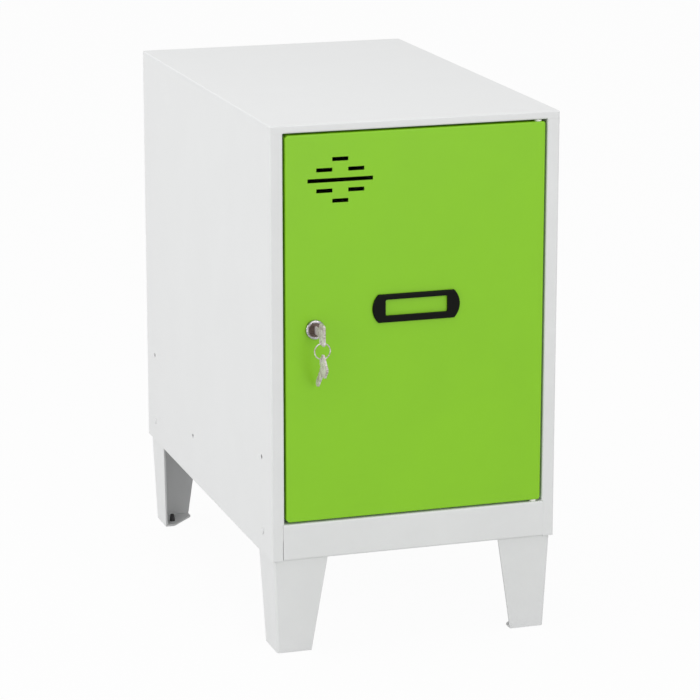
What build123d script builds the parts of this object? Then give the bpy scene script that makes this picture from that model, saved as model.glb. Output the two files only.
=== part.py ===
from build123d import *
import math
import os

# A small single-door steel locker on four folded legs, in millimetres.
# It is modelled with X across the front, Y from the front face to the back
# and Z up from the floor. At the end everything is moved along Y, so that the
# origin lies on the floor under the middle of the whole object.

# Cabinet
width = 300.0
depth = 500.0
body_height = 440.0
leg_height = 100.0
sheet = 1.0
bend = 2.0                   # outer radius of every fold
stile = 13.2                 # width of the front faces beside the door
header = 8.0                 # height of the front face above the door
sill = 37.5                  # height of the front face below the door
sill_stile = 11.5            # width of a stile beside the sill, where its fold is notched
sill_joint = 0.5             # open joint between the left stile and the sill
top_bend = 1.5               # outer radius of the fold round the top sheet
top_skirt = 3.0              # fold of the top panel over the sides and back
header_return = 22.0         # how far the header folds back
base_return = 60.0           # how far the sill folds back under the base
rear_flange = 15.0
skirt_end = 22.0             # where the floor's side skirts start and end
stop_lip = 10.0              # lip behind the door on its lock side
link_hole_radius = 2.25      # holes that bolt one locker to the next
link_hole_height = 100.0     # above the underside of the body
link_hole_inset = 35.0
shelf_hole_height = 50.0
shelf_hole_setback = 302.0
sheet_fit = 0.1              # radial gap round pins and rivets in punched holes

# Door
door_gap = 2.0
door_thickness = 18.0
door_bend = 1.5
door_lip = 14.0
corner_chamfer = 2.6
corner_radius = 2.5
slot_length = 16.5
slot_height = 4.0
slot_round = 0.4             # corner radius of the punched slots
long_slot_length = 67.0
slot_row = 10.3
slot_offset = 16.3
slot_centre_in = 71.5        # from the left side of the body
slot_centre_up = 384.0       # above the underside of the body
stiffener_gauge = 0.8
stiffener_crown = 20.0
stiffener_foot = 10.0
stiffener_depth = 13.0
stiffener_in = 44.8          # from the hinge edge of the door
stiffener_end_gap = 2.5

# Hinge
pin_radius = 2.0
pin_in = 6.5                 # from the hinge edge of the door
pin_setback = 4.6            # behind the front face
pin_head_radius = 2.5
pin_head_height = 1.5
pin_stick_out = 1.0
bush_radius = 3.0
bush_flange_radius = 3.5
bush_length = 5.0            # below the flange, through the door's fold
bush_fit = 0.05
lift_gap = 0.4               # play above the top bush
buffer_radius = 4.0
buffer_thickness = 2.0
buffer_from_end = 40.0

# Lock
lock_in = 45.0               # from the left side of the body
lock_up = 236.0              # above the underside of the body
bezel_radius = 9.75
bezel_height = 4.0
bezel_round = 1.4
barrel_radius = 9.0
barrel_flat = 7.75           # from the axis to each flat of the barrel
barrel_fit = 0.1
nut_across = 24.0
nut_thickness = 5.0
plug_radius = 6.0
plug_head_radius = 7.2
plug_head_height = 1.2
plug_recess = 0.8
plug_fit = 0.05
keyway_depth = 16.0
cam_square = 7.0
cam_thickness = 2.5
cam_width = 16.0
cam_reach = 38.0
cam_gap = 0.5                # between the cam and the back of the stop lip
cam_play = 0.1
cam_fit = 0.1
screw_radius = 2.5
screw_depth = 7.0
screw_head_radius = 5.0
screw_head_height = 3.0
screw_slot_width = 1.2
screw_slot_depth = 1.4

# Keys
key_thickness = 2.0
key_fit = 0.1
bow_width = 15.0
bow_length = 21.0
bow_chamfer = 2.2
bow_hole_radius = 2.0
bow_hole_offset = 7.0
blade_length = 26.0
blade_width = 7.4
shank_out = 14.0             # bare blade between the lock and the bow
collar_width = 9.6
collar_length = 4.0
tip_width = 3.0
tip_length = 3.0
notch_depth = 1.1
notch_pitch = 2.6
notch_count = 4
ring_radius = 8.0
wire_radius = 0.6
ring_fit = 0.15

# Label holder
label_width = 91.0
label_height = 28.5
label_bulge = 6.0
label_thickness = 3.0
label_chamfer = 1.0
label_up = 252.0             # above the underside of the body
window_width = 65.0
window_height = 16.5
window_lift = 0.8
window_round = 1.5
peg_radius = 2.0
peg_in = 39.0
peg_length = 3.5
peg_barb = 0.6
peg_fit = 0.1

# Legs and fixings
leg_sheet = 2.0
leg_bend = 3.0
leg_inset_top = 3.0
leg_inset_bottom = 7.0
leg_front_top = 56.0
leg_front_bottom = 36.0
leg_side_top = 54.0
leg_side_bottom = 40.0
foot_end = 12.0              # straight end of the foot plate at the front flange
foot_side = 10.0             # straight end of the foot plate at the side flange
top_plate_end = 24.0
plug_pad_radius = 7.0
plug_pad = 1.0
foot_plug_radius = 3.1
foot_plug_tip = 2.3
foot_plug_height = 10.0
foot_plug_in = 11.0
foot_plug_back = 26.0
foot_plug_fit = 0.1
leg_bolt_radius = 3.0
leg_bolt_fit = 0.3
leg_bolt_head_radius = 5.0
leg_bolt_head = 3.0
leg_bolt_near = 15.0
leg_bolt_far = 34.0
leg_nut_across = 10.0
leg_nut_height = 5.0
rivet_radius = 2.0
rivet_head_radius = 3.6
rivet_head = 0.9
rivet_tail = 1.2
rivet_up = 23.0
rivet_in = 33.0

# Places that several pieces share
body_bottom = leg_height
body_top = leg_height + body_height
half = width / 2
floor_top = body_bottom + sill
header_bottom = body_top - header
side_top = body_top - top_skirt
opening_half = half - stile
door_half = opening_half - door_gap
door_bottom = floor_top + door_gap
door_top = header_bottom - door_gap
stop_front = door_thickness + buffer_thickness
jamb_depth = stop_front + sheet
cam_front = jamb_depth + cam_gap
pin_x = door_half - pin_in
lock_x = lock_in - half
lock_z = body_bottom + lock_up
back_inner = depth - 2 * sheet
far = 2000.0                 # longer than anything, for cuts that run right through


def block(x, y, z):
    """A box between two corners, given as (low, high) along each axis."""
    size = [high - low for low, high in (x, y, z)]
    middle = [(high + low) / 2 for low, high in (x, y, z)]
    return Pos(*middle) * Box(*size)


def rod(radius, start, end, direction="Y", x=0.0, y=0.0, z=0.0):
    """A cylinder along one axis between two stations, through (x, y, z)."""
    turn = {"X": Rot(0, 90, 0), "Y": Rot(-90, 0, 0), "Z": Rot(0, 0, 0)}[direction]
    middle = {"X": Pos((start + end) / 2, y, z),
              "Y": Pos(x, (start + end) / 2, z),
              "Z": Pos(x, y, (start + end) / 2)}[direction]
    return middle * turn * Cylinder(radius, end - start)


def folded(points, gauge, radius):
    """Section of a folded sheet whose middle line runs through the points."""
    line = FilletPolyline(*points, radius=radius - gauge / 2)
    return trace(line, line_width=gauge)


def extrude_up(section, low, high):
    """Carry a section drawn in X and Y from one height to another."""
    return Pos(0, 0, low) * extrude(section, high - low, dir=(0, 0, 1))


def facing(outline, front, back):
    """Carry an outline drawn in X and Z from one depth to another."""
    solid = extrude(outline, back - front, dir=(0, 0, 1))
    return Pos(0, front, 0) * Rot(-90, 0, 0) * mirror(solid, about=Plane.XZ)


def side_panel(hand):
    """Side sheet with its front stile, jamb and rear flange; hand is -1 left, 1 right."""
    mid = sheet / 2
    jamb_x = half - stile + mid
    points = [(jamb_x, jamb_depth - mid), (jamb_x, mid), (half - mid, mid),
              (half - mid, depth - mid), (half - rear_flange, depth - mid)]
    if hand < 0:
        points = [(jamb_x - mid - stop_lip, jamb_depth - mid)] + points
    panel = extrude_up(folded(points, sheet, bend), body_bottom, side_top)
    front = (-far, jamb_depth + sheet)
    panel -= block((-far, half + sheet), (-far, bend), (header_bottom, side_top + sheet))
    panel -= block((-far, half - sheet), front, (header_bottom, side_top + sheet))
    panel -= block((-far, half - sill_stile), front, (body_bottom - sheet, floor_top))
    for y, up in side_holes():
        panel -= rod(link_hole_radius, half - 2 * sheet, half + sheet, "X",
                     y=y, z=body_bottom + up)
    for y in rivet_stations():
        panel -= rod(rivet_radius + sheet_fit, half - 2 * sheet, half + sheet, "X",
                     y=y, z=body_bottom + rivet_up)
    return panel if hand > 0 else mirror(panel, about=Plane.YZ)


def side_holes():
    """Setback and height above the body's underside of the holes in a side."""
    return [(link_hole_inset, link_hole_height),
            (depth - link_hole_inset, link_hole_height),
            (shelf_hole_setback, shelf_hole_height)]


def rivet_stations():
    """Setbacks of the rivets low on each side."""
    return [rivet_in, depth - rivet_in]


def top_panel():
    """Cap with a deep front fold that is the header and folds back above the door."""
    outer = block((-half, half), (0, depth), (header_bottom, body_top))
    outer = fillet(outer.edges().filter_by(Axis.Z), bend)
    outer = fillet(outer.faces().sort_by(Axis.Z)[-1].edges(), top_bend)
    inner = block((-half + sheet, half - sheet), (sheet, depth - sheet),
                  (header_bottom - sheet, body_top - sheet))
    inner = fillet(inner.edges().filter_by(Axis.Z), bend - sheet)
    inner = fillet(inner.faces().sort_by(Axis.Z)[-1].edges(), top_bend - sheet)
    cap = outer - inner
    cap -= block((-far, far), (bend, far), (header_bottom - sheet, side_top))
    cap += block((-half + bend, half - bend), (sheet, header_return),
                 (header_bottom, header_bottom + sheet))
    low_edge = block((-opening_half, opening_half), (-sheet, bend),
                     (header_bottom - sheet, header_bottom + bend))
    low_edge -= rod(bend, -half, half, "X", y=bend, z=header_bottom + bend)
    cap -= low_edge
    cap += block((-opening_half, opening_half), (sheet, bend),
                 (header_bottom + sheet, header_bottom + bend)) \
        - rod(bend - sheet, -half, half, "X", y=bend, z=header_bottom + bend)
    return cap - rod(pin_radius + sheet_fit, header_bottom - sheet, header_bottom + 2 * sheet,
                     "Z", x=pin_x, y=pin_setback)


def floor_panel():
    """Floor sheet folded down as the sill in front and as a skirt on every side."""
    mid = sheet / 2
    low = body_bottom + mid
    points = [(base_return, low), (mid, low), (mid, floor_top - mid),
              (back_inner - mid, floor_top - mid), (back_inner - mid, low),
              (back_inner - base_return, low)]
    section = Plane.YZ * folded(points, sheet, bend)
    panel = Pos(-half + sheet, 0, 0) * extrude(section, width - 2 * sheet, dir=(1, 0, 0))
    for x in (-half + sheet, half - 2 * sheet):
        panel += block((x, x + sheet), (skirt_end, depth - skirt_end),
                       (body_bottom, floor_top - mid))
    panel -= block((-far, -half + sill_stile + sill_joint), (-sheet, bend), (0, body_top))
    panel -= block((half - sill_stile, far), (-sheet, bend), (0, body_top))
    panel -= rod(pin_radius + sheet_fit, floor_top - 2 * sheet, floor_top + sheet,
                 "Z", x=pin_x, y=pin_setback)
    for y in rivet_stations():
        panel -= rod(rivet_radius + sheet_fit, -half, half, "X", y=y, z=body_bottom + rivet_up)
    for x, y in leg_bolt_places():
        panel -= rod(leg_bolt_radius + leg_bolt_fit, body_bottom - sheet,
                     body_bottom + 2 * sheet, "Z", x=x, y=y)
    return panel


def back_panel():
    """Flat sheet inside the rear flanges, from the underside to the top sheet."""
    return block((-half + bend, half - bend), (back_inner, depth - sheet),
                 (body_bottom, body_top - bend))


def leg_section(inset, along_front, along_side, height):
    """L-shaped section of the front left leg at one height."""
    x = -half + inset
    y = inset
    points = [(x, y), (x + along_front, y), (x + along_front, y + leg_sheet),
              (x + leg_sheet, y + leg_sheet), (x + leg_sheet, y + along_side),
              (x, y + along_side)]
    return Pos(0, 0, height) * make_face(Polyline(*points, close=True))


def corner_plate(inset, along_front, along_side, end, side, low):
    """Plate in the corner of a leg with its free corner cut off."""
    x = -half + inset + leg_sheet / 2
    y = inset + leg_sheet / 2
    reach_x = -half + inset + along_front
    reach_y = inset + along_side
    points = [(x, y), (reach_x, y), (reach_x, inset + end),
              (-half + inset + side, reach_y), (x, reach_y)]
    return extrude_up(make_face(Polyline(*points, close=True)), low, low + leg_sheet)


def front_left_leg():
    """Tapered L-shaped leg with a foot plate and a plate that bolts to the base."""
    leg = loft([leg_section(leg_inset_bottom, leg_front_bottom, leg_side_bottom, plug_pad),
                leg_section(leg_inset_top, leg_front_top, leg_side_top, body_bottom)], ruled=True)
    corner = leg.edges().sort_by(lambda edge: edge.center().X + edge.center().Y)[0]
    leg = fillet(corner, leg_bend)
    foot = corner_plate(leg_inset_bottom, leg_front_bottom, leg_side_bottom,
                        foot_end, foot_side, plug_pad)
    inner_top = leg_inset_top + leg_sheet / 2
    top = corner_plate(inner_top, leg_front_top - leg_sheet, leg_side_top - leg_sheet,
                       top_plate_end, top_plate_end, body_bottom - leg_sheet)
    leg = leg + foot + top
    x, y = foot_plug_place()
    leg -= rod(foot_plug_radius + foot_plug_fit, 0, plug_pad + 2 * leg_sheet, "Z", x=x, y=y)
    for x, y in leg_bolt_corner():
        leg -= rod(leg_bolt_radius + leg_bolt_fit, body_bottom - 2 * leg_sheet,
                   body_bottom + leg_sheet, "Z", x=x, y=y)
    return leg


def foot_plug_place():
    """Where the front left foot plug stands."""
    return -half + leg_inset_bottom + foot_plug_in, leg_inset_bottom + foot_plug_back


def foot_plug():
    """Soft plug with a thin pad under the foot plate and a tapered stem above it."""
    x, y = foot_plug_place()
    profile = Polyline((0, 0), (plug_pad_radius, 0), (plug_pad_radius, plug_pad),
                       (foot_plug_radius, plug_pad),
                       (foot_plug_radius, plug_pad + leg_sheet),
                       (foot_plug_tip, plug_pad + foot_plug_height),
                       (0, plug_pad + foot_plug_height), close=True)
    plug = revolve(Plane.XZ * make_face(profile), Axis.Z)
    plug = fillet(plug.edges().sort_by(Axis.Z)[-1], foot_plug_tip / 2)
    return Pos(x, y, 0) * plug


def leg_bolt_corner():
    """Where the two bolts of the front left leg stand."""
    x = -half + leg_inset_top
    y = leg_inset_top
    return [(x + leg_bolt_near, y + leg_bolt_far), (x + leg_bolt_far, y + leg_bolt_near)]


def leg_bolt_places():
    """Every leg bolt, by the symmetry of the four corners."""
    places = []
    for x, y in leg_bolt_corner():
        places += [(x, y), (-x, y), (x, depth - y), (-x, depth - y)]
    return places


def at_corner(piece, right, rear):
    """Turn the front left piece into the same piece at another corner."""
    if right:
        piece = mirror(piece, about=Plane.YZ)
    if rear:
        piece = mirror(piece, about=Plane(origin=(0, depth / 2, 0), z_dir=(0, 1, 0)))
    return piece


def leg_bolts():
    """Button-head bolts that rise through the leg plates and the base."""
    under = body_bottom - leg_sheet
    end = body_bottom + sheet + leg_nut_height + sheet
    bolts = []
    for x, y in leg_bolt_places():
        bolt = rod(leg_bolt_radius, under, end, "Z", x=x, y=y)
        head = rod(leg_bolt_head_radius, under - leg_bolt_head, under, "Z", x=x, y=y)
        head = fillet(head.edges().sort_by(Axis.Z)[0], leg_bolt_head / 2)
        socket = extrude_up(Pos(x, y) * RegularPolygon(leg_bolt_radius * 0.7, 6),
                            under - leg_bolt_head - sheet, under - leg_bolt_head / 2)
        bolts.append(bolt + head - socket)
    return bolts


def leg_nuts():
    """Hexagon nuts on the bolts, on top of the base's returns."""
    low = body_bottom + sheet
    nuts = []
    for x, y in leg_bolt_places():
        nut = extrude_up(Pos(x, y) * hexagon(leg_nut_across), low, low + leg_nut_height)
        nuts.append(nut - rod(leg_bolt_radius + sheet_fit, low, low + leg_nut_height, "Z", x=x, y=y))
    return nuts


def hexagon(across):
    """Hexagon of a given size across its flats."""
    return RegularPolygon(across / 2, 6, major_radius=False)


def body_rivets():
    """Domed rivets that hold each side sheet to the floor panel's skirt."""
    rivets = []
    for hand in (-1, 1):
        for y in rivet_stations():
            outside = half
            shank = rod(rivet_radius, outside - 2 * sheet, outside, "X")
            head = rod(rivet_head_radius, outside, outside + rivet_head, "X")
            head = fillet(head.edges().sort_by(Axis.X)[-1], rivet_head * 0.8)
            tail = rod(rivet_radius * 1.4, outside - 2 * sheet - rivet_tail,
                       outside - 2 * sheet, "X")
            rivet = Pos(0, y, body_bottom + rivet_up) * (shank + head + tail)
            rivets.append(rivet if hand > 0 else mirror(rivet, about=Plane.YZ))
    return rivets


def door_outline(inset):
    """Door outline in X and Z: cut corners at the lock side, round ones at the hinge."""
    x = door_half - inset
    low = door_bottom + inset
    high = door_top - inset
    cut = corner_chamfer
    arc = corner_radius
    lines = Polyline((x - arc, low), (-x + cut, low), (-x, low + cut), (-x, high - cut),
                     (-x + cut, high), (x - arc, high))
    lines += RadiusArc((x - arc, high), (x, high - arc), arc)
    lines += Line((x, high - arc), (x, low + arc))
    lines += RadiusArc((x, low + arc), (x - arc, low), arc)
    return make_face(lines)


def door_panel():
    """Pan-shaped door with folded edges, side lips, vent slots and punched holes."""
    pan = facing(door_outline(0), 0, door_thickness)
    pan = fillet(pan.faces().sort_by(Axis.Y)[0].edges(), door_bend)
    pan -= facing(door_outline(sheet), sheet, door_thickness + sheet)
    lip_y = (door_thickness - sheet, door_thickness)
    lip_z = (door_bottom + corner_chamfer + sheet, door_top - corner_chamfer - sheet)
    inside = door_half - sheet / 2
    pan += block((-inside, -door_half + door_lip), lip_y, lip_z)
    pan += block((door_half - door_lip, inside), lip_y, lip_z)
    pan -= vent_slots()
    pan -= barrel(barrel_radius + barrel_fit, barrel_flat + barrel_fit, -sheet, 2 * sheet)
    for x in (-peg_in, peg_in):
        pan -= rod(peg_radius + peg_fit, -sheet, 2 * sheet, "Y", x=x, z=body_bottom + label_up)
    for low in (door_bottom, door_top - sheet):
        pan -= rod(bush_radius + sheet_fit, low - sheet, low + 2 * sheet,
                   "Z", x=pin_x, y=pin_setback)
    return pan


def vent_slots():
    """Cutters for a diamond of short slots round one long slot."""
    x = slot_centre_in - half
    z = body_bottom + slot_centre_up
    rows = [(0, 2, slot_length), (-1, 1, slot_length), (1, 1, slot_length),
            (0, 0, long_slot_length), (-1, -1, slot_length), (1, -1, slot_length),
            (0, -2, slot_length)]
    cutters = []
    for across, up, length in rows:
        slot = facing(RectangleRounded(length, slot_height, slot_round), -sheet, 2 * sheet)
        cutters.append(Pos(x + across * slot_offset, 0, z + up * slot_row) * slot)
    return cutters


def barrel(radius, flat, front, back):
    """Round barrel with two flats, about the lock's axis."""
    body = rod(radius, front, back, "Y") & block((-flat, flat), (front, back), (-radius, radius))
    return Pos(lock_x, 0, lock_z) * body


def door_stiffener():
    """Hat-shaped channel that stands behind the door's face."""
    mid = stiffener_gauge / 2
    foot = sheet + mid
    crown = sheet + stiffener_depth - mid
    side = stiffener_crown / 2 - mid
    reach = side + stiffener_foot
    points = [(-reach, foot), (-side, foot), (-side, crown), (side, crown), (side, foot),
              (reach, foot)]
    section = folded(points, stiffener_gauge, door_bend)
    channel = extrude_up(section, door_bottom + sheet + stiffener_end_gap,
                         door_top - sheet - stiffener_end_gap)
    return Pos(door_half - stiffener_in, 0, 0) * channel


def hinge_pin(top):
    """Headed pin held by the frame and reaching into the door's bush."""
    if top:
        seat = header_bottom + sheet
        head = (seat, seat + pin_head_height)
        stem = (door_top - bush_length - pin_stick_out, seat)
    else:
        seat = floor_top - sheet
        head = (seat - pin_head_height, seat)
        stem = (seat, door_bottom + bush_length + pin_stick_out)
    pin = rod(pin_radius, stem[0], stem[1], "Z", x=pin_x, y=pin_setback)
    return pin + rod(pin_head_radius, head[0], head[1], "Z", x=pin_x, y=pin_setback)


def hinge_bush(top):
    """Flanged bush in the door's folded edge, round the pin."""
    if top:
        flange = (door_top, header_bottom - lift_gap)
        body = (door_top - bush_length, door_top)
    else:
        flange = (floor_top, door_bottom)
        body = (door_bottom, door_bottom + bush_length)
    place = {"x": pin_x, "y": pin_setback}
    bush = rod(bush_radius, body[0], body[1], "Z", **place)
    bush += rod(bush_flange_radius, flange[0], flange[1], "Z", **place)
    return bush - rod(pin_radius + bush_fit, floor_top, header_bottom, "Z", **place)


def door_buffers():
    """Round rubber pads between the stop lip and the door's lip."""
    x = -opening_half + stop_lip / 2
    return [rod(buffer_radius, door_thickness, stop_front, "Y", x=x, z=z)
            for z in (door_bottom + buffer_from_end, door_top - buffer_from_end)]


def label_frame():
    """Moulded holder with bowed ends, an open window and two snap pegs."""
    x = label_width / 2
    z = label_height / 2
    side = x - label_bulge
    outline = Line((-side, z), (side, z))
    outline += ThreePointArc((side, z), (x, 0), (side, -z))
    outline += Line((side, -z), (-side, -z))
    outline += ThreePointArc((-side, -z), (-x, 0), (-side, z))
    frame = facing(make_face(outline), -label_thickness, 0)
    frame = chamfer(frame.faces().sort_by(Axis.Y)[0].edges(), label_chamfer)
    window = Pos(0, window_lift) * RectangleRounded(window_width, window_height, window_round)
    frame -= facing(window, -label_thickness, 0)
    for at in (-peg_in, peg_in):
        peg = rod(peg_radius, 0, peg_length, "Y", x=at)
        barb = Pos(at, 0, 0) * Rot(-90, 0, 0) * Pos(0, 0, (sheet + peg_length) / 2) \
            * Cone(peg_radius + peg_barb, peg_radius - peg_barb, peg_length - sheet)
        frame += peg + barb
    return Pos(0, 0, body_bottom + label_up) * frame


def lock_housing():
    """Round bezel and flatted barrel with a stepped bore for the plug."""
    bezel = rod(bezel_radius, -bezel_height, 0, "Y")
    bezel = fillet(bezel.edges().sort_by(Axis.Y)[0], bezel_round)
    housing = Pos(lock_x, 0, lock_z) * bezel
    housing += barrel(barrel_radius, barrel_flat, 0, cam_front - cam_play)
    bore = rod(plug_radius + plug_fit, -bezel_height, cam_front, "Y")
    bore += rod(plug_head_radius + plug_fit, -bezel_height, plug_seat() + plug_fit, "Y")
    return housing - Pos(lock_x, 0, lock_z) * bore


def plug_face():
    """Setback of the plug's front face, just inside the bezel."""
    return -bezel_height + plug_recess


def plug_seat():
    """Setback of the shoulder under the plug's head."""
    return plug_face() + plug_head_height


def lock_nut():
    """Hexagon nut that clamps the housing behind the door's face."""
    nut = facing(hexagon(nut_across), sheet, sheet + nut_thickness)
    nut -= rod(barrel_radius + barrel_fit, 0, far, "Y")
    return Pos(lock_x, 0, lock_z) * nut


def lock_plug():
    """Turning plug with a keyway in front and a square tail for the cam."""
    plug = rod(plug_radius, plug_face(), cam_front, "Y")
    plug += rod(plug_head_radius, plug_face(), plug_seat(), "Y")
    tail = cam_square / 2
    plug += block((-tail, tail), (cam_front, cam_front + cam_thickness - cam_play), (-tail, tail))
    slot_x = key_thickness / 2 + key_fit
    slot_z = blade_width / 2 + key_fit
    plug -= block((-slot_x, slot_x), (-bezel_height, plug_face() + keyway_depth),
                  (-slot_z, slot_z))
    plug -= rod(screw_radius, cam_front + cam_thickness - screw_depth - key_fit,
                cam_front + cam_thickness, "Y")
    return Pos(lock_x, 0, lock_z) * plug


def lock_cam():
    """Flat latch on the plug's tail; it points up, clear of the stop lip."""
    length = cam_reach - cam_width / 2
    shape = Pos(0, length / 2) * Rectangle(cam_width, length)
    shape += Circle(cam_width / 2)
    shape += Pos(0, length) * Circle(cam_width / 2)
    cam = facing(shape, cam_front, cam_front + cam_thickness)
    hole = cam_square / 2 + cam_fit
    cam -= block((-hole, hole), (cam_front, cam_front + cam_thickness), (-hole, hole))
    return Pos(lock_x, 0, lock_z) * cam


def cam_screw():
    """Cheese-head screw that holds the cam on the plug's tail."""
    seat = cam_front + cam_thickness
    screw = rod(screw_radius - sheet_fit, seat - screw_depth, seat, "Y")
    screw += rod(screw_head_radius, seat, seat + screw_head_height, "Y")
    slot = screw_slot_width / 2
    end = seat + screw_head_height
    screw -= block((-slot, slot), (end - screw_slot_depth, end), (-far, far))
    return Pos(lock_x, 0, lock_z) * screw


def key_outline():
    """Flat T-shaped key: the bow's middle is the origin and the blade runs along +X."""
    edge = bow_width / 2
    bow = chamfer(Rectangle(bow_width, bow_length).vertices(), bow_chamfer)
    tip = edge + blade_length
    wide = blade_width / 2
    blade = make_face(Polyline((0, wide), (tip - tip_length, wide), (tip, tip_width / 2),
                               (tip, -tip_width / 2), (tip - tip_length, -wide), (0, -wide),
                               close=True))
    collar = Pos(edge + collar_length / 2, 0) * Rectangle(collar_length, collar_width)
    shape = bow + blade + collar
    first = tip - tip_length - notch_pitch / 2
    for number in range(notch_count):
        x = first - number * notch_pitch
        side = wide if number % 2 == 0 else -wide
        inner = side - notch_depth if side > 0 else side + notch_depth
        shape -= make_face(Polyline((x - notch_depth, side), (x, inner), (x + notch_depth, side),
                                    close=True))
    return shape - Pos(0, -bow_hole_offset) * Circle(bow_hole_radius)


def key_solid():
    """The key as a plate in the Y-Z plane, blade to the back, hole low in the bow."""
    plate = extrude(key_outline(), key_thickness / 2, both=True)
    return Rot(0, 0, 90) * Rot(90, 0, 0) * plate


def bow_setback():
    """Setback of the middle of the inserted key's bow."""
    return -bezel_height - shank_out - bow_width / 2


def ring_top():
    """Height of the wire where the ring hangs in the inserted key's bow."""
    return lock_z - bow_hole_offset - bow_hole_radius + wire_radius + ring_fit


def key():
    """The key in the lock, with its bow upright."""
    return Pos(lock_x, bow_setback(), lock_z) * key_solid()


def key_ring():
    """Plain wire ring through both bows."""
    ring = Rot(90, 0, 0) * Torus(ring_radius, wire_radius)
    return Pos(lock_x, bow_setback(), ring_top() - ring_radius) * ring


def hanging_turn():
    """Degrees of turn that bring a key's centre of mass straight under its hole."""
    centre = key_solid().center(CenterOf.MASS)
    return 180 - math.degrees(math.atan2(centre.Y, centre.Z + bow_hole_offset))


def spare_key():
    """Second key, hanging from the bottom of the ring by the hole in its bow."""
    hung = Rot(0, 0, 180) * Pos(0, 0, bow_hole_offset) * key_solid()
    hung = Rot(hanging_turn(), 0, 0) * hung
    hole_z = ring_top() - 2 * ring_radius + wire_radius + ring_fit - bow_hole_radius
    return Pos(lock_x, bow_setback(), hole_z) * hung


def make_parts():
    """Every piece by its name, still with the front face at Y = 0."""
    parts = {
        "side_panel_left": side_panel(-1),
        "side_panel_right": side_panel(1),
        "top_panel": top_panel(),
        "floor_panel": floor_panel(),
        "back_panel": back_panel(),
        "body_rivets": body_rivets(),
        "leg_bolts": leg_bolts(),
        "leg_nuts": leg_nuts(),
        "hinge_pin_top": hinge_pin(True),
        "hinge_pin_bottom": hinge_pin(False),
        "door_buffers": door_buffers(),
        "door_panel": door_panel(),
        "door_stiffener": door_stiffener(),
        "hinge_bush_top": hinge_bush(True),
        "hinge_bush_bottom": hinge_bush(False),
        "label_frame": label_frame(),
        "lock_housing": lock_housing(),
        "lock_nut": lock_nut(),
        "lock_plug": lock_plug(),
        "lock_cam": lock_cam(),
        "cam_screw": cam_screw(),
        "key": key(),
        "key_ring": key_ring(),
        "spare_key": spare_key(),
    }
    for place, right, rear in (("front_left", False, False), ("front_right", True, False),
                               ("rear_left", False, True), ("rear_right", True, True)):
        parts["leg_" + place] = at_corner(front_left_leg(), right, rear)
        parts["foot_plug_" + place] = at_corner(foot_plug(), right, rear)
    return parts


def main():
    """Centre the object on its origin and write one file for each piece."""
    os.makedirs("parts", exist_ok=True)
    parts = {name: Compound(children=list(piece)) if isinstance(piece, list) else piece
             for name, piece in make_parts().items()}
    low = min(piece.bounding_box().min.Y for piece in parts.values())
    high = max(piece.bounding_box().max.Y for piece in parts.values())
    shift = -(low + high) / 2
    for name, piece in parts.items():
        export_step(Pos(0, shift, 0) * piece, f"parts/{name}.step")
    print("front face at Y", round(shift, 3))
    print("hinge axis X", round(pin_x, 3), "Y", round(shift + pin_setback, 3))
    print("lock axis X", round(lock_x, 3), "Z", round(lock_z, 3))
    print("ring hangs at Y", round(shift + bow_setback(), 3), "Z", round(ring_top(), 3))
    print("spare key hangs at Z", round(ring_top() - 2 * ring_radius, 3))


main()
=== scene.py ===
# %% [markdown]
# # A small steel locker on four legs
# The locker is folded from thin sheet steel and powder coated: a pale grey cabinet on four
# tapered legs, with one green door, a cam lock with two keys on a ring and a black label
# holder. Its solid parts were made in CAD, to real size. This lesson dresses them: each finish
# gets a material made of simple rules, and a soft studio shows the result.
# The CAD parts could be modelled again here, but then they would drift from the parts that
# move in the simulation, so they are loaded as a fixed frame and only dressed.

# %% Load the frame
import math

import bpy
import numpy as np
from mathutils import Matrix, Vector


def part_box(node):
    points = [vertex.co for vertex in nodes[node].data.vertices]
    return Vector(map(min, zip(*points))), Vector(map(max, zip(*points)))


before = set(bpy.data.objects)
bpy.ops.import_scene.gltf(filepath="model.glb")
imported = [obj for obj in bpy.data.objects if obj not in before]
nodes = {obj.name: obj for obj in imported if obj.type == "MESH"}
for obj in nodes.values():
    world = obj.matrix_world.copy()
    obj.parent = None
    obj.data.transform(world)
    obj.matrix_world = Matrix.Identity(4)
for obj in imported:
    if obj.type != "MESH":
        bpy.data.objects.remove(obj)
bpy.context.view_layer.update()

# %% [markdown]
# ## Colours as a screen gives them
# A colour picker on a screen gives values from 0 to 255 on a curve that suits the eye, but
# light adds up on a straight line. So each colour is written as the screen shows it, which is
# easy to judge, and is straightened once, here.

# %% Colours
def screen(red, green, blue):
    """Straight colour of a screen's colour: ((v / 255 + 0.055) / 1.055) to the power 2.4."""
    values = (np.array([red, green, blue]) / 255 + 0.055) / 1.055
    return (*(values ** 2.4), 1.0)


MM = 0.001
WHITE = (1.0, 1.0, 1.0, 1.0)
print("a screen's middle grey", [round(v, 3) for v in screen(128, 128, 128)[:3]])

# %% [markdown]
# ## Helpers for shader nodes
# A material is a small graph. Written out in full, each node takes five lines, and the idea is
# lost among them. These helpers make one node a line: a socket that is handed in is joined,
# and a plain value is set on the input.

# %% Shader helpers
def add(tree, kind, settings=None, **inputs):
    """Add a node, set its own settings, then join or set each named input."""
    made = tree.nodes.new(kind)
    for name, value in (settings or {}).items():
        setattr(made, name, value)
    for name, value in inputs.items():
        feed(tree, made.inputs[name.replace("_", " ")], value)
    return made


def feed(tree, socket, value):
    """Join an input to a socket, or set its plain value."""
    if isinstance(value, bpy.types.NodeSocket):
        tree.links.new(value, socket)
    else:
        socket.default_value = value


def mixed(tree, factor, first, second):
    """Colour between two colours, by a factor from 0 to 1."""
    made = add(tree, "ShaderNodeMix", {"data_type": "RGBA"}, Factor=factor)
    feed(tree, made.inputs[6], first)
    feed(tree, made.inputs[7], second)
    return made.outputs[2]


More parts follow.
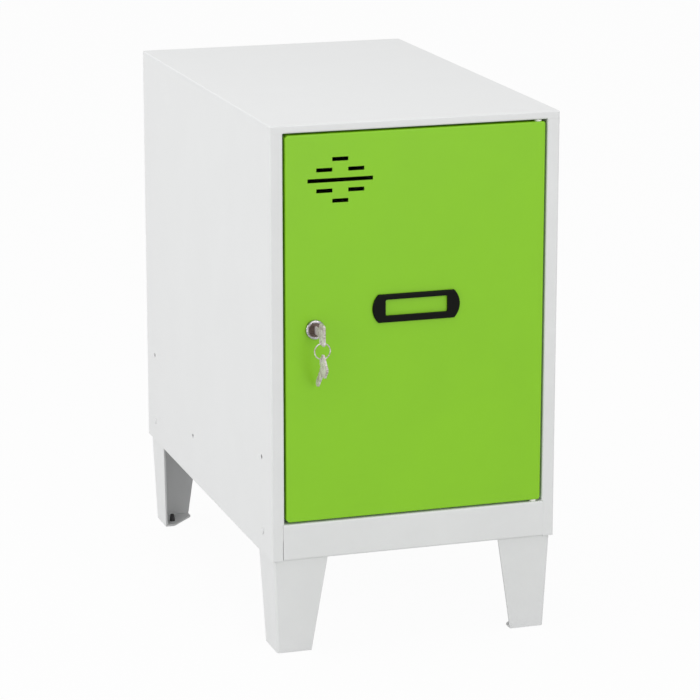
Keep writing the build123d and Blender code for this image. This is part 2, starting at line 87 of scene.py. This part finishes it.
def spread(tree, value, low, high, out_low, out_high):
    """Value carried from one range to another and held inside it."""
    made = add(tree, "ShaderNodeMapRange", Value=value, From_Min=low, From_Max=high,
               To_Min=out_low, To_Max=out_high)
    return made.outputs["Result"]


def maths(tree, operation, first, second=0.0):
    """One sum on one or two values."""
    made = add(tree, "ShaderNodeMath", {"operation": operation})
    feed(tree, made.inputs[0], first)
    feed(tree, made.inputs[1], second)
    return made.outputs[0]


def new_group(name, inputs, outputs):
    """Empty node group with named inputs (label, kind, value) and outputs (label, kind)."""
    group = bpy.data.node_groups.new(name, "ShaderNodeTree")
    for label, kind, value in inputs:
        socket = group.interface.new_socket(label, in_out="INPUT", socket_type=kind)
        socket.default_value = value
    for label, kind in outputs:
        group.interface.new_socket(label, in_out="OUTPUT", socket_type=kind)
    return group, group.nodes.new("NodeGroupInput"), group.nodes.new("NodeGroupOutput")


def placed(tree, group, **inputs):
    """A copy of a group in a material, with its own values."""
    made = tree.nodes.new("ShaderNodeGroup")
    made.node_tree = group
    for name, value in inputs.items():
        feed(tree, made.inputs[name.replace("_", " ")], value)
    return made


def seen_directly(tree):
    """1 for rays of the camera, of mirrors and of glass, and 0 for the rays that light things."""
    rays = add(tree, "ShaderNodeLightPath")
    either = maths(tree, "MAXIMUM", rays.outputs["Is Camera Ray"], rays.outputs["Is Glossy Ray"])
    return maths(tree, "MAXIMUM", either, rays.outputs["Is Transmission Ray"])


def new_material(name):
    """Material with one Principled shader, and its tree."""
    material = bpy.data.materials.new(name)
    material.use_nodes = True
    tree = material.node_tree
    return material, tree, tree.nodes["Principled BSDF"]

# %% [markdown]
# ## The skin of a powder coat
# Powder melts on the sheet and flows, but it keeps a fine ripple called orange peel. Below it
# the thin sheet is never quite flat, so soft reflections sway a little. A picture of the peel
# could be laid on, but it would stretch round the folds. Noise worked out from the place of
# each point in space has the right size everywhere, so both ripples are noise in one group.

# %% Powder coat group
FLOAT, NORMAL = "NodeSocketFloat", "NodeSocketVector"

powder_skin, given, result = new_group(
    "powder skin",
    [("Peel Size", FLOAT, 1.6 * MM), ("Peel Height", FLOAT, 0.02 * MM),
     ("Sway Height", FLOAT, 0.25 * MM), ("Normal", NORMAL, (0.0, 0.0, 1.0))],
    [("Normal", NORMAL), ("Cloud", FLOAT)])
place = add(powder_skin, "ShaderNodeTexCoord").outputs["Object"]
peel_scale = maths(powder_skin, "DIVIDE", 1.0, given.outputs["Peel Size"])
peel = add(powder_skin, "ShaderNodeTexNoise", Vector=place, Scale=peel_scale, Detail=1.0,
           Roughness=0.4).outputs["Fac"]
sway = add(powder_skin, "ShaderNodeTexNoise", Vector=place, Scale=9.0, Detail=0.0).outputs["Fac"]
cloud = add(powder_skin, "ShaderNodeTexNoise", Vector=place, Scale=14.0, Detail=4.0,
            Roughness=0.6).outputs["Fac"]
swaying = add(powder_skin, "ShaderNodeBump", Height=sway, Strength=1.0,
              Distance=given.outputs["Sway Height"], Normal=given.outputs["Normal"])
peeling = add(powder_skin, "ShaderNodeBump", Height=peel, Strength=1.0,
              Distance=given.outputs["Peel Height"], Normal=swaying.outputs["Normal"])
feed(powder_skin, result.inputs["Normal"], peeling.outputs["Normal"])
feed(powder_skin, result.inputs["Cloud"], cloud)
print("powder skin group has", len(powder_skin.nodes), "nodes")

# %% [markdown]
# ## Where edges catch
# Hands, tools and other parts touch edges first: coats are thinner there and metal is polished.
# The mask that marks edges also lays a painted highlight: the paler or brighter colour that it
# puts on edges stands in partly for light catching folds and bevels. An edge could be found
# from the mesh, but flat CAD faces have no points to store it on. The Bevel node finds it by
# looking round each point, and the group compares that rounded direction with the true one:
# they part only near an edge. The rounded direction is handed on as well, so that folds and
# bevels catch the light as if they had a small radius.

# %% Edge group
edge_wear_and_highlight, given, result = new_group(
    "edge wear and highlight", [("Reach", FLOAT, 0.6 * MM), ("Breakup", FLOAT, 0.5)],
    [("Mask", FLOAT), ("Normal", NORMAL)])
rounded = add(edge_wear_and_highlight, "ShaderNodeBevel", {"samples": 4}, Radius=given.outputs["Reach"])
straight = add(edge_wear_and_highlight, "ShaderNodeNewGeometry").outputs["True Normal"]
likeness = add(edge_wear_and_highlight, "ShaderNodeVectorMath", {"operation": "DOT_PRODUCT"})
feed(edge_wear_and_highlight, likeness.inputs[0], rounded.outputs["Normal"])
feed(edge_wear_and_highlight, likeness.inputs[1], straight)
near = spread(edge_wear_and_highlight, likeness.outputs["Value"], 0.99, 0.75, 0.0, 1.0)
place = add(edge_wear_and_highlight, "ShaderNodeTexCoord").outputs["Object"]
patches = add(edge_wear_and_highlight, "ShaderNodeTexNoise", Vector=place, Scale=120.0, Detail=3.0).outputs["Fac"]
kept = spread(edge_wear_and_highlight, patches, 0.35, 0.65, 0.0, 1.0)
kept = maths(edge_wear_and_highlight, "MULTIPLY", kept, given.outputs["Breakup"])
whole = maths(edge_wear_and_highlight, "SUBTRACT", 1.0, given.outputs["Breakup"])
# The mask carries edge wear and a painted highlight along edges.
feed(edge_wear_and_highlight, result.inputs["Mask"],
     maths(edge_wear_and_highlight, "MULTIPLY", near, maths(edge_wear_and_highlight, "ADD", kept, whole)))
feed(edge_wear_and_highlight, result.inputs["Normal"], rounded.outputs["Normal"])
print("edge group has", len(edge_wear_and_highlight.nodes), "nodes")

# %% [markdown]
# ## Fine scratches
# Plated metal that is handled gets hair-fine scratches and a faint haze. They could be drawn
# one by one, but noise that is squeezed along one direction gives hundreds at no cost, and
# it only has to change how rough the metal is.

# %% Scratch group
handling, given, result = new_group(
    "handling marks",
    [("Fineness", FLOAT, 900.0), ("Height", FLOAT, 0.004 * MM), ("Normal", NORMAL, (0.0, 0.0, 1.0))],
    [("Haze", FLOAT), ("Normal", NORMAL)])
place = add(handling, "ShaderNodeTexCoord").outputs["Object"]
squeezed = add(handling, "ShaderNodeMapping", Vector=place, Rotation=(0.4, 0.3, 0.6),
               Scale=(0.12, 1.0, 1.0)).outputs["Vector"]
hairs = add(handling, "ShaderNodeTexNoise", Vector=squeezed, Scale=given.outputs["Fineness"],
            Detail=2.0).outputs["Fac"]
stains = add(handling, "ShaderNodeTexNoise", Vector=place, Scale=150.0, Detail=3.0).outputs["Fac"]
haze = maths(handling, "MULTIPLY", hairs, stains)
feed(handling, result.inputs["Haze"], spread(handling, haze, 0.15, 0.4, 0.0, 1.0))
scratched = add(handling, "ShaderNodeBump", Height=hairs, Strength=1.0,
                Distance=given.outputs["Height"], Normal=given.outputs["Normal"])
feed(handling, result.inputs["Normal"], scratched.outputs["Normal"])
print("handling group has", len(handling.nodes), "nodes")

# %% [markdown]
# ## Paint
# Both paints are the same powder in two colours: a fairly glossy skin over a solid colour.
# One function makes both, so that they age alike. The colour drifts by up to 3.5 hundredths in
# soft clouds, the gloss drifts with it, and edges are a touch paler: partly where the coat pulls
# thin, partly a painted highlight along folds.

# %% Paint materials
CLOUD_SPAN = (0.3, 0.7)
DARKEST = 0.965
PALE_COAT_AND_HIGHLIGHT_SHARE = 0.35


def paint(name, colour, pale_coat_and_highlight, gloss_low, gloss_high):
    """Powder coat: a colour that drifts, paler edges that are partly a painted highlight, orange peel
    and a swaying sheet.
    """
    material, tree, shader = new_material(name)
    edges = placed(tree, edge_wear_and_highlight, Reach=0.5 * MM, Breakup=0.3)
    skin = placed(tree, powder_skin, Normal=edges.outputs["Normal"])
    darker = tuple(DARKEST * v for v in colour[:3]) + (1.0,)
    drifting = mixed(tree, spread(tree, skin.outputs["Cloud"], *CLOUD_SPAN, 0.0, 1.0), darker, colour)
    # Paler edges: thinner coat and a painted highlight along folds.
    thinned_and_highlit = mixed(tree, maths(tree, "MULTIPLY", edges.outputs["Mask"], PALE_COAT_AND_HIGHLIGHT_SHARE), drifting, pale_coat_and_highlight)
    feed(tree, shader.inputs["Base Color"], thinned_and_highlit)
    feed(tree, shader.inputs["Roughness"],
         spread(tree, skin.outputs["Cloud"], *CLOUD_SPAN, gloss_low, gloss_high))
    feed(tree, shader.inputs["Normal"], skin.outputs["Normal"])
    return material


# The second colour is the paler edge, partly a painted highlight.
body_paint = paint("body_paint", screen(227, 228, 228), screen(240, 240, 240), 0.36, 0.46)
door_paint = paint("door_paint", screen(135, 201, 4), screen(168, 218, 80), 0.38, 0.48)
print("paints", body_paint.name, door_paint.name)

# %% [markdown]
# ## Metals
# Bolts, pins and the latch are zinc plated, the lock's face is chrome round a dull brown plug,
# and the keys are nickel plated. Plating is a metal shader whose roughness changes with haze
# and whose edges are rubbed bright; that bright edge is partly a painted highlight. Each metal
# has its own tint: zinc is bluish, nickel is warm. The chrome ring, the plug and the keys have
# base colours darker than their metals: this is painted reflection, which stands in for darker
# surroundings that they mirror. The keys are stamped, and their tumbled faces throw light about
# like a coat of silver paint. A mirror there would show little but the green door, so their
# shader is mostly coat and only partly metal. Some of the door's green still shows in them.

# %% Metal materials
def plating(name, dull, bright, rough_low, rough_high, metal=1.0):
    """Plated metal: a hazy roughness, hair scratches and edges rubbed bright, partly a painted
    highlight.
    """
    material, tree, shader = new_material(name)
    edges = placed(tree, edge_wear_and_highlight, Reach=0.4 * MM, Breakup=0.2)
    marks = placed(tree, handling, Normal=edges.outputs["Normal"])
    hazy = mixed(tree, marks.outputs["Haze"], bright, dull)
    # Edges take the bright colour: rubbed metal and a painted highlight.
    feed(tree, shader.inputs["Base Color"], mixed(tree, edges.outputs["Mask"], hazy, bright))
    shader.inputs["Metallic"].default_value = metal
    feed(tree, shader.inputs["Roughness"],
         spread(tree, marks.outputs["Haze"], 0.0, 1.0, rough_low, rough_high))
    feed(tree, shader.inputs["Normal"], marks.outputs["Normal"])
    return material


plated_steel = plating("plated_steel", screen(176, 178, 184), screen(214, 216, 222), 0.28, 0.48)
# Chrome, plug and key colours are darkened: a painted reflection of darker surroundings.
chrome = plating("chrome", screen(132, 128, 130), screen(206, 202, 208), 0.1, 0.24)
plug_dark_reflection = plating("plug_dark_reflection", screen(78, 66, 62), screen(112, 98, 92), 0.3, 0.42)
key_steel = plating("key_steel", screen(148, 128, 122), screen(226, 220, 220), 0.34, 0.46, 0.2)
print("metals", plated_steel.name, chrome.name, plug_dark_reflection.name, key_steel.name)

# %% [markdown]
# ## Plastics and rubber
# The label holder is moulded in black plastic with a spark-eroded matt grain, the hinge
# bushes are milky nylon, and the pads are dark rubber. All three are one plastic shader with
# a grain, and the nylon lets a little light into itself. Edges are paler: slight wear, and a
# painted highlight, which on the label outlines its window.

# %% Plastic materials
WORN_AND_HIGHLIT_SHARE = 0.5


def moulded(name, colour, worn_and_highlit, rough_low, rough_high, grain):
    """Moulded plastic or rubber: a fine grain, a drifting gloss and paler edges, slightly worn and
    partly a painted highlight.
    """
    material, tree, shader = new_material(name)
    edges = placed(tree, edge_wear_and_highlight, Reach=0.8 * MM, Breakup=0.6)
    skin = placed(tree, powder_skin, Peel_Size=grain, Peel_Height=0.015 * MM, Sway_Height=0.0,
                  Normal=edges.outputs["Normal"])
    # Paler edges: slight wear and a painted highlight.
    feed(tree, shader.inputs["Base Color"],
         mixed(tree, maths(tree, "MULTIPLY", edges.outputs["Mask"], WORN_AND_HIGHLIT_SHARE), colour, worn_and_highlit))
    feed(tree, shader.inputs["Roughness"],
         spread(tree, skin.outputs["Cloud"], *CLOUD_SPAN, rough_low, rough_high))
    feed(tree, shader.inputs["Normal"], skin.outputs["Normal"])
    return material, shader


black_plastic, black_shader = moulded("black_plastic", screen(8, 9, 5), screen(30, 30, 28),
                                      0.3, 0.42, 0.5 * MM)
black_shader.inputs["Specular IOR Level"].default_value = 0.1
dark_rubber, _ = moulded("dark_rubber", screen(60, 60, 61), screen(84, 84, 84), 0.6, 0.75,
                         0.4 * MM)
white_nylon, nylon_shader = moulded("white_nylon", screen(238, 237, 232), screen(246, 246, 244),
                                    0.38, 0.5, 0.6 * MM)
nylon_shader.inputs["Subsurface Weight"].default_value = 0.3
nylon_shader.inputs["Subsurface Radius"].default_value = (0.8 * MM, 0.8 * MM, 0.7 * MM)
print("plastics", black_plastic.name, dark_rubber.name, white_nylon.name)

# %% [markdown]
# ## Dress the frame
# Every CAD part keeps its shape and takes the finish that the real part has. The materials have
# the names of the record's slots, with one addition: the lock's plug is in the chrome slot, but
# it is much duller than the ring round it, so here it has a material of its own, whose dark
# colour is a painted reflection.

# %% Materials on the CAD parts
FINISHES = {
    body_paint: ["side_panel_left", "side_panel_right", "top_panel", "floor_panel", "back_panel",
                 "body_rivets", "leg_front_left", "leg_front_right", "leg_rear_left",
                 "leg_rear_right"],
    door_paint: ["door_panel", "door_stiffener"],
    plated_steel: ["leg_bolts", "leg_nuts", "hinge_pin_top", "hinge_pin_bottom", "lock_nut",
                   "lock_cam", "cam_screw"],
    chrome: ["lock_housing"],
    plug_dark_reflection: ["lock_plug"],
    key_steel: ["key", "key_ring", "spare_key"],
    white_nylon: ["hinge_bush_top", "hinge_bush_bottom"],
    black_plastic: ["label_frame"],
    dark_rubber: ["door_buffers", "foot_plug_front_left", "foot_plug_front_right",
                  "foot_plug_rear_left", "foot_plug_rear_right"],
}

for material, names in FINISHES.items():
    for name in names:
        nodes[name].data.materials.clear()
        nodes[name].data.materials.append(material)
undressed = set(nodes) - {name for names in FINISHES.values() for name in names}
print("undressed parts", sorted(undressed))

# %% [markdown]
# ## Floor and light
# The locker stands on a plain pale floor in a bright, soft studio. A real one has a white
# sweep and big lamps behind cloth. Here the world is the cloth: it lights the object evenly,
# and three large lamps add a little direction. The camera, mirrors and glass see plain white
# where the world is, which keeps the background white without more light on the object.

# %% Floor
def plane(name, half_width, half_depth, height):
    """Flat square about the origin: each corner is a sign pair times the half sizes."""
    signs = np.array([(-1, -1), (1, -1), (1, 1), (-1, 1)], float)
    corners = np.column_stack([signs * (half_width, half_depth), np.full(4, height)])
    mesh = bpy.data.meshes.new(name)
    mesh.from_pydata(corners.tolist(), [], [(0, 1, 2, 3)])
    made = bpy.data.objects.new(name, mesh)
    bpy.context.scene.collection.objects.link(made)
    return made


FLOOR_HALF = 30.0
FLOOR_GREY = screen(206, 206, 206)
FLOOR_ROUGHNESS = 0.9
FLOOR_WHITENESS = 0.96

floor = plane("floor", FLOOR_HALF, FLOOR_HALF, 0.0)
floor_material, tree, shader = new_material("studio_floor")
shader.inputs["Base Color"].default_value = FLOOR_GREY
shader.inputs["Roughness"].default_value = FLOOR_ROUGHNESS
glow = add(tree, "ShaderNodeEmission", Color=WHITE, Strength=1.0)
whitened = maths(tree, "MULTIPLY", seen_directly(tree), FLOOR_WHITENESS)
blend = add(tree, "ShaderNodeMixShader", Fac=whitened)
tree.links.new(shader.outputs["BSDF"], blend.inputs[1])
tree.links.new(glow.outputs["Emission"], blend.inputs[2])
tree.links.new(blend.outputs["Shader"], tree.nodes["Material Output"].inputs["Surface"])
floor.data.materials.append(floor_material)

# %% World
CLOTH_STRENGTH = 0.62

world = bpy.data.worlds.new("studio")
bpy.context.scene.world = world
world.use_nodes = True
tree = world.node_tree
tree.nodes.clear()
cloth = add(tree, "ShaderNodeBackground", Color=WHITE, Strength=CLOTH_STRENGTH)
plain = add(tree, "ShaderNodeBackground", Color=WHITE, Strength=1.0)
blend = add(tree, "ShaderNodeMixShader", Fac=seen_directly(tree))
tree.links.new(cloth.outputs["Background"], blend.inputs[1])
tree.links.new(plain.outputs["Background"], blend.inputs[2])
output = add(tree, "ShaderNodeOutputWorld")
tree.links.new(blend.outputs["Shader"], output.inputs["Surface"])

# %% Lamps
def lamp(name, place, target, size, power):
    """Large square lamp that looks from a place at a target, in metres and watts."""
    light = bpy.data.lights.new(name, "AREA")
    light.shape = "SQUARE"
    light.size = size
    light.energy = power
    made = bpy.data.objects.new(name, light)
    made.location = place
    made.rotation_euler = (Vector(target) - Vector(place)).to_track_quat("-Z", "Y").to_euler()
    bpy.context.scene.collection.objects.link(made)
    return made


MIDDLE = (0.0, 0.0, 0.27)
lamp("lamp_above", (-0.2, -0.3, 2.6), MIDDLE, 1.8, 12.0)
lamp("lamp_left", (-2.4, 0.1, 1.1), MIDDLE, 1.6, 22.5)
lamp("lamp_front", (0.3, -2.8, 1.2), MIDDLE, 1.6, 23.0)

# %% [markdown]
# ## Camera
# The photograph was taken from above left with a long lens, which keeps the upright edges
# nearly parallel. The camera's place and turn were fitted to 18 corners and marks of the
# photograph. They agree to about 6 pixels on average and 12 at most, not exactly.

# %% Camera
FRONT_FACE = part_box("door_panel")[0].y
CAMERA_PLACE = Vector((-0.9868, FRONT_FACE - 2.8638, 1.0755))
CAMERA_YAW = math.radians(17.777)
CAMERA_PITCH = math.radians(14.242)
CAMERA_ROLL = math.radians(0.02)
SENSOR = 36.0
FOCAL_PIXELS = 3142.7
IMAGE_PIXELS = 700


def looking(yaw, pitch, roll):
    """Turn of a camera that looks along yaw, dips by pitch and rolls about its own line."""
    ahead = Vector((math.sin(yaw) * math.cos(pitch), math.cos(yaw) * math.cos(pitch),
                    -math.sin(pitch)))
    right = Vector((math.cos(yaw), -math.sin(yaw), 0.0))
    up = right.cross(ahead)
    turned_right = math.cos(roll) * right + math.sin(roll) * up
    turned_up = math.cos(roll) * up - math.sin(roll) * right
    return Matrix((turned_right, turned_up, -ahead)).transposed()


camera_data = bpy.data.cameras.new("camera")
camera_data.sensor_width = SENSOR
camera_data.lens = FOCAL_PIXELS / IMAGE_PIXELS * SENSOR
camera_data.clip_start = 0.1
camera_data.clip_end = 200.0
camera = bpy.data.objects.new("camera", camera_data)
turn = looking(CAMERA_YAW, CAMERA_PITCH, CAMERA_ROLL).to_4x4()
camera.matrix_world = Matrix.Translation(CAMERA_PLACE) @ turn
bpy.context.scene.collection.objects.link(camera)
bpy.context.scene.camera = camera
bpy.context.scene.view_settings.view_transform = "Standard"
print("lens in mm", round(camera_data.lens, 1))
